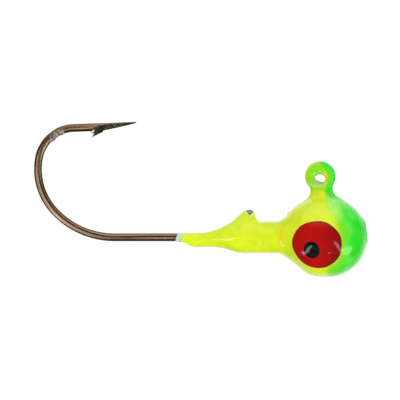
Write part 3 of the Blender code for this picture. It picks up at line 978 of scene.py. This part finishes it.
def spray_amount(points):
    """How much green each point has: the sprayed front, and thin green on the ring."""
    x, _, z = points.T
    edge = np.interp(z, *zip(*GREEN_EDGE))
    soft = np.interp(z, *zip(*GREEN_SOFTNESS))
    wander = 0.22 * soft * ripple(points, 2.6, 61)
    spray = np.clip(0.5 + 0.5 * (x - edge + wander) / soft, 0.0, 1.0)
    spared = soft_spot(x, z, THIN_GREEN_POOL)
    near_outline = smooth_step(*THIN_GREEN_OUTLINE, np.hypot(x, z))
    thin = THIN_GREEN * smooth_step(*THIN_GREEN_START, z)
    thin = thin * (1.0 - THIN_GREEN_POOL_LOSS * spared)
    thin = thin * (1.0 - THIN_GREEN_OUTLINE_LOSS * near_outline)
    return np.maximum(spray, thin)


def film_amount(points):
    """1 on the clear paint that hangs in the ring's hole, and 0 away from it."""
    x, y, z = points.T
    hanging = smooth_step(*FILM_TOP, z) * smooth_step(*FILM_OUTLINE, np.hypot(x, z))
    hanging = hanging * smooth_step(*FILM_FRONT, x)
    return hanging * smooth_step(*FILM_CLEAR_OF_PAINT, ring_field(x, y, z))


def film_highlight_amount(points):
    """How much painted highlight shows: a soft pale arc under the hanging paint."""
    x, _, z = points.T
    arc_x, arc_z, arc_radius = FILM_HIGHLIGHT_ARC
    off_arc = (np.hypot(x - arc_x, z - arc_z) - arc_radius) / FILM_HIGHLIGHT_HALF_WIDTH
    return FILM_HIGHLIGHT_SHARE * np.exp(-off_arc ** 2) * smooth_step(*FILM_HIGHLIGHT_TOP, z)


def make_skin():
    """All the paint on the head and ring, with the values that its material reads."""
    def near_chip(p):
        return tip_distance(p) < 1.1

    def near_detail(p):
        return near_chip(p) | (p[:, 2] > -1.5)

    low, high = box_round("chartreuse_coat", 0.35)
    mesh = level_mesh("painted_skin", skin_field, low, high, HEAD_STEP, (near_detail, near_chip))
    points = spots_of(mesh)
    z = points[:, 2]
    add_values(mesh, 'spray', spray_amount(points))
    # Upper ball and neck, where the spray's soft edge gets a painted highlight.
    add_values(mesh, 'upper', smooth_step(-6.0, -4.4, z) * smooth_step(-2.2, -3.0, z))
    # Hollows and the listed spots: their yellow is partly pooled paint and partly painted shade.
    pooled_and_shaded = hollowness(mesh, 10, 0.036)
    u, _, h = head_place(points)
    for *spot, amount in POOLS_AND_SHADE:
        pooled_and_shaded = pooled_and_shaded + amount * soft_spot(u, h, spot)
    add_values(mesh, 'hollow', np.clip(pooled_and_shaded, -1.0, 1.0))
    add_values(mesh, 'film', film_amount(points))
    # Painted highlight under the hanging paint.
    add_values(mesh, 'film_highlight', film_highlight_amount(points))
    near_tip = smooth_step(1.15, 0.9, tip_distance(points))
    chip_rim = smooth_step(0.14, 0.03, chip_field(points))
    add_values(mesh, 'chip_edge', 0.8 * near_tip * chip_rim)
    return new_object("painted_skin", mesh, paint_material(),
                      ("chartreuse_coat", "green_coat"))


def make_lead():
    """The casting, with a finer mesh at the broken tip, the one place where it shows."""
    def near_tip(p):
        return tip_nearness(p) > 0.01

    low, high = box_round("lead_head", 0.35)
    mesh = level_mesh("lead_casting", lead_field, low, high, LEAD_STEP, (near_tip, near_tip))
    return new_object("lead_casting", mesh, lead_material(), ("lead_head",))


def make_base_coat():
    """The band of base coat, which runs on a little way under the paint."""
    low = (BALL_X + BASE_COAT_END - 0.3, -0.9, -SHANK_DROP - 0.9)
    high = (BALL_X + CHARTREUSE_END + 1.2, 0.9, -SHANK_DROP + 0.9)
    mesh = level_mesh("base_coat_band", base_coat_field, low, high, BASE_COAT_STEP)
    return new_object("base_coat_band", mesh, base_coat_material(), ("base_coat",))


def make_hook():
    """The wire, with its own measures and where it is ground and cut for its material."""
    def near_point(p):
        s, _ = point_frame(p)
        return (s > -2.4) & (p[:, 2] > -2.0)

    def near_barb(p):
        s, t = point_frame(p)
        return (s > -1.9) & (s < -0.5) & (t < 0.0) & (t > -1.6)

    low, high = box_round("hook", 0.30)
    mesh = level_mesh("bronze_hook", hook_field, low, high, HOOK_STEP, (near_point, near_barb))
    points = spots_of(mesh)
    wire, along, left = round_wire(points)
    size = np.maximum(np.hypot(left, points[:, 1]), 1e-6)
    add_values(mesh, 'wire', np.stack((left / size, points[:, 1] / size, along), axis=-1))
    s, t = point_frame(points)
    worn = smooth_step(-0.02, -0.06, wire + 0.012 * ripple(points, 0.5, 71))
    below = smooth_step(0.02, 0.06, wire) * smooth_step(-0.30, -0.40, t)
    add_values(mesh, 'ground', smooth_step(-1.8, -1.3, s) * np.maximum(worn, below))
    outside = smooth_step(-0.03, 0.02, wire)
    add_values(mesh, 'cut', outside * smooth_step(0.03, -0.03, polygon(s, t, BARB_CUT)))
    return new_object("bronze_hook", mesh, bronze_material(), ("hook",), 50.0)


def make_residue():
    """The patch of dried lacquer on the bend."""
    low, high = box_round("lacquer_residue", 0.8)
    low[1], high[1] = -1.0, 1.0
    mesh = level_mesh("lacquer_lump", residue_field, low, high, RESIDUE_STEP)
    return new_object("lacquer_lump", mesh, lacquer_material(),
                      ("lacquer_residue",))


def make_dab(name, aim, radius, heights, side, material, node):
    """A round dab of paint laid on the skin along aim, thickest in its middle.

    heights are that of the flat part and of the middle. Side 1 is left, and -1 its mirror image.
    """
    lift, thickness = heights
    way = Vector((aim[0], aim[1] * side, aim[2])).normalized()
    right = way.cross(Vector((0.0, 0.0, 1.0))).normalized()
    up = right.cross(way)
    centre = np.array(BALL_CENTRE)
    rings, spokes = DAB_RINGS, DAB_SPOKES
    shares = [math.sin(math.pi / 2.0 * ring / rings) for ring in range(1, rings + 1)]
    angles = np.arange(spokes) * 2.0 * math.pi / spokes
    wobble = 1.0 + 0.008 * np.sin(3.0 * angles + 0.7) + 0.005 * np.sin(7.0 * angles + side)
    offsets, rims = [np.zeros((1, 2))], [np.zeros(1)]
    for share in shares:
        reach = share * wobble
        offsets.append(np.stack((radius[0] * reach * np.cos(angles),
                                 radius[1] * reach * np.sin(angles)), axis=-1))
        rims.append(np.full(spokes, share))
    offsets, rims = np.concatenate(offsets), np.concatenate(rims)
    way_array = np.array(way)
    start = centre + offsets[:, :1] * np.array(right) + offsets[:, 1:] * np.array(up)
    points = start + way_array * np.sqrt(BALL_RADIUS ** 2 - (offsets ** 2).sum(axis=1))[:, None]
    for _ in range(8):
        slope = gradient(points, skin_field)
        points = points - way_array * (skin_field(points) / (slope @ way_array))[:, None]
    normals = gradient(points, skin_field)
    normals /= np.linalg.norm(normals, axis=1)[:, None]
    dome = (1.0 - rims ** 10) ** 0.5
    crown = 0.75 + 0.25 * (1.0 - rims ** 2)
    height = lift * dome + (thickness - lift) * dome * crown - DAB_SINK
    top = points + normals * height[:, None]
    bottom = points - normals * DAB_ROOT
    verts = np.concatenate((top, bottom))
    faces = []
    for layer, turn in ((0, 1), (len(top), -1)):
        for spoke in range(spokes):
            after = (spoke + 1) % spokes
            faces.append([layer, layer + 1 + spoke, layer + 1 + after][::turn])
            for ring in range(rings - 1):
                inner = layer + 1 + ring * spokes
                outer = inner + spokes
                faces.append([inner + spoke, outer + spoke, outer + after, inner + after][::turn])
    last = 1 + (rings - 1) * spokes
    for spoke in range(spokes):
        after = (spoke + 1) % spokes
        under = len(top) + last
        faces.append([last + spoke, under + spoke, under + after, last + after])
    mesh = bpy.data.meshes.new(name)
    mesh.from_pydata(verts * MM, [], faces)
    add_values(mesh, 'rim', np.concatenate((rims, rims)))
    # Painted shade for the iris: darker towards the nose.
    from_middle = verts[:, 0] - BALL_X
    add_values(mesh, 'front', DAB_PAINTED_SHADE_SHARE * smooth_step(*DAB_FRONT, from_middle))
    bm = bmesh.new()
    bm.from_mesh(mesh)
    bmesh.ops.recalc_face_normals(bm, faces=bm.faces)
    bm.to_mesh(mesh)
    bm.free()
    return new_object(name, mesh, material, (node,))


# ---- stage -------------------------------------------------------------------------------------

FLOOR_DROP = 90.0
FLOOR_HALF_SIZE = 4.0
PLAIN_BRIGHTNESS = 1.05
FILL_SPREAD = 70.0
LAMP_DISTANCE = 240.0
BEND_SPOT = (-30.0, 0.0, -6.0)
WIRE_LAMPS = (('left', (-0.62, -0.72, -0.32), (320.0, 320.0), 1.9),
              ('right', (0.87, -0.50, 0.0), (60.0, 360.0), 1.5),
              ('under', (0.0, -0.93, -0.37), (340.0, 90.0), 0.95),
              ('top', (0.0, -0.35, 0.94), (700.0, 300.0), 0.45))
# Brightness of the studio along an axis: (axis, from, to, brightness at from, brightness at to).
STUDIO_LIGHT = (('Y', 0.35, 0.95, 0.04, 0.95), ('Z', 0.45, 0.85, 0.0, 0.52))
VIEW_WIDTH = 50.56
VIEW_CENTRE = (-15.21, -2.97)
LENS = 300.0
SENSOR = 36.0


def make_floor():
    """A pale floor far below, which neither shades the object nor shows in its gloss."""
    bm = bmesh.new()
    bmesh.ops.create_grid(bm, x_segments=4, y_segments=4, size=FLOOR_HALF_SIZE)
    mesh = bpy.data.meshes.new("floor")
    bm.to_mesh(mesh)
    bm.free()
    floor = bpy.data.objects.new("floor", mesh)
    floor.location = (0.0, 0.0, -FLOOR_DROP * MM)
    bpy.context.scene.collection.objects.link(floor)
    s = Shader('floor_paper', Roughness=0.9, Emission_Strength=0.5)
    s.bsdf.inputs['Emission Color'].default_value = (1.0, 1.0, 1.0, 1.0)
    mesh.materials.append(s.finish(s.mix(s.noise(0.02, 3.0), PAPER, PAPER_PALE)))
    floor.visible_glossy = False
    floor.visible_diffuse = False
    floor.visible_shadow = False


def make_fill(name, way, brightness):
    """Wide soft daylight from direction way, which lights paint but makes no reflections."""
    lamp = bpy.data.lights.new(name, 'SUN')
    lamp.energy = brightness * math.pi
    lamp.angle = math.radians(FILL_SPREAD)
    thing = bpy.data.objects.new(name, lamp)
    thing.rotation_mode = 'QUATERNION'
    thing.rotation_quaternion = Vector(way).to_track_quat('Z', 'Y')
    thing.visible_glossy = False
    bpy.context.scene.collection.objects.link(thing)


def make_lamp(name, way, roll, size, brightness, colour=(1.0, 1.0, 1.0), lit=None, spot=BALL_CENTRE):
    """An oval lamp in direction way, turned by roll degrees, with its two widths in millimetres.

    It stands for a window and faces spot. If lit is given, it shines on those pieces only.
    """
    lamp = bpy.data.lights.new(name, 'AREA')
    lamp.shape = 'ELLIPSE'
    lamp.size, lamp.size_y = size[0] * MM, size[1] * MM
    lamp.energy = brightness * math.pi ** 2 / 4.0 * lamp.size * lamp.size_y
    lamp.color = colour
    thing = bpy.data.objects.new(name, lamp)
    target = Vector(spot) * MM
    way = Vector(way).normalized()
    thing.location = target + way * LAMP_DISTANCE * MM
    thing.rotation_mode = 'QUATERNION'
    turn = Quaternion((0.0, 0.0, 1.0), math.radians(roll))
    thing.rotation_quaternion = way.to_track_quat('Z', 'Y') @ turn
    bpy.context.scene.collection.objects.link(thing)
    if lit:
        group = bpy.data.collections.new(name)
        for piece in lit:
            group.objects.link(piece)
        thing.light_linking.receiver_collection = group


def make_world():
    """Plain white to look at. As light it is bright behind and above, and dark in front."""
    world = bpy.data.worlds.new("studio")
    bpy.context.scene.world = world
    world.use_nodes = True
    nodes, links = world.node_tree.nodes, world.node_tree.links
    nodes.clear()
    place = nodes.new('ShaderNodeTexCoord')
    split = nodes.new('ShaderNodeSeparateXYZ')
    links.new(place.outputs['Generated'], split.inputs[0])
    total = nodes.new('ShaderNodeMath')
    total.operation = 'ADD'
    for index, (axis, start, end, low, high) in enumerate(STUDIO_LIGHT):
        ramp = nodes.new('ShaderNodeMapRange')
        ramp.interpolation_type = 'SMOOTHSTEP'
        links.new(split.outputs[axis], ramp.inputs['Value'])
        numbers = {'From Min': start, 'From Max': end, 'To Min': low, 'To Max': high}
        for key, number in numbers.items():
            ramp.inputs[key].default_value = number
        links.new(ramp.outputs['Result'], total.inputs[index])
    studio = nodes.new('ShaderNodeBackground')
    links.new(total.outputs['Value'], studio.inputs['Strength'])
    plain = nodes.new('ShaderNodeBackground')
    plain.inputs['Strength'].default_value = PLAIN_BRIGHTNESS
    for shader in (studio, plain):
        shader.inputs['Color'].default_value = (1.0, 1.0, 1.0, 1.0)
    path = nodes.new('ShaderNodeLightPath')
    mix = nodes.new('ShaderNodeMixShader')
    links.new(path.outputs['Is Camera Ray'], mix.inputs[0])
    links.new(studio.outputs[0], mix.inputs[1])
    links.new(plain.outputs[0], mix.inputs[2])
    output = nodes.new('ShaderNodeOutputWorld')
    links.new(mix.outputs[0], output.inputs['Surface'])


def make_camera():
    """A long lens, square to the hook's plane."""
    data = bpy.data.cameras.new("camera")
    data.lens, data.sensor_width = LENS, SENSOR
    data.clip_start, data.clip_end = 0.01, 20.0
    camera = bpy.data.objects.new("camera", data)
    distance = VIEW_WIDTH * LENS / SENSOR
    camera.location = Vector((VIEW_CENTRE[0], -distance, VIEW_CENTRE[1])) * MM
    camera.rotation_euler = (math.radians(90.0), 0.0, 0.0)
    bpy.context.scene.collection.objects.link(camera)
    bpy.context.scene.camera = camera


make_camera()
make_world()
make_floor()
make_fill("front_fill", (0.0, -1.0, 0.05), 0.30)
make_fill("under_fill", (0.0, -0.4, -0.92), 0.38)
make_fill("top_fill", (0.0, -0.3, 0.95), 0.42)
make_fill("left_fill", (-0.9, -0.4, -0.1), 0.25)
make_fill("right_fill", (0.9, -0.4, -0.1), 0.27)
make_fill("back_fill", (0.0, 1.0, 0.1), 0.30)
make_lamp("right_streak", (0.523, -0.745, -0.414), -38.0, (190.0, 46.0), 2.6)
make_lamp("right_window", (0.80, -0.308, -0.515), 30.0, (130.0, 105.0), 2.2)
make_lamp("left_streak", (-0.70, -0.46, -0.545), 22.0, (230.0, 40.0), 3.6, (0.82, 0.90, 1.0))
make_lamp("left_glint", (-0.812, -0.051, -0.58), 0.0, (26.0, 20.0), 3.0)
make_lamp("low_glint", (0.10, -0.70, -0.70), 40.0, (18.0, 12.0), 4.0)
bpy.context.scene.view_settings.view_transform = 'Standard'

skin = make_skin()
make_lamp("collar_glint", (0.1215, -0.726, -0.677), 0.0, (11.0, 290.0), 6.0, lit=[skin])
make_lead()
make_base_coat()
wire = [make_hook(), make_residue()]
for word, way, size, brightness in WIRE_LAMPS:
    make_lamp("wire_" + word, way, 0.0, size, brightness, lit=wire, spot=BEND_SPOT)
for word, side in (('left', 1.0), ('right', -1.0)):
    make_dab("iris_disc_" + word, IRIS_AIM, IRIS_RADIUS, IRIS_HEIGHTS, side,
             iris_material(), "iris_" + word)
    make_dab("pupil_dot_" + word, PUPIL_AIM, PUPIL_RADIUS, PUPIL_HEIGHTS, side,
             pupil_material(), "pupil_" + word)
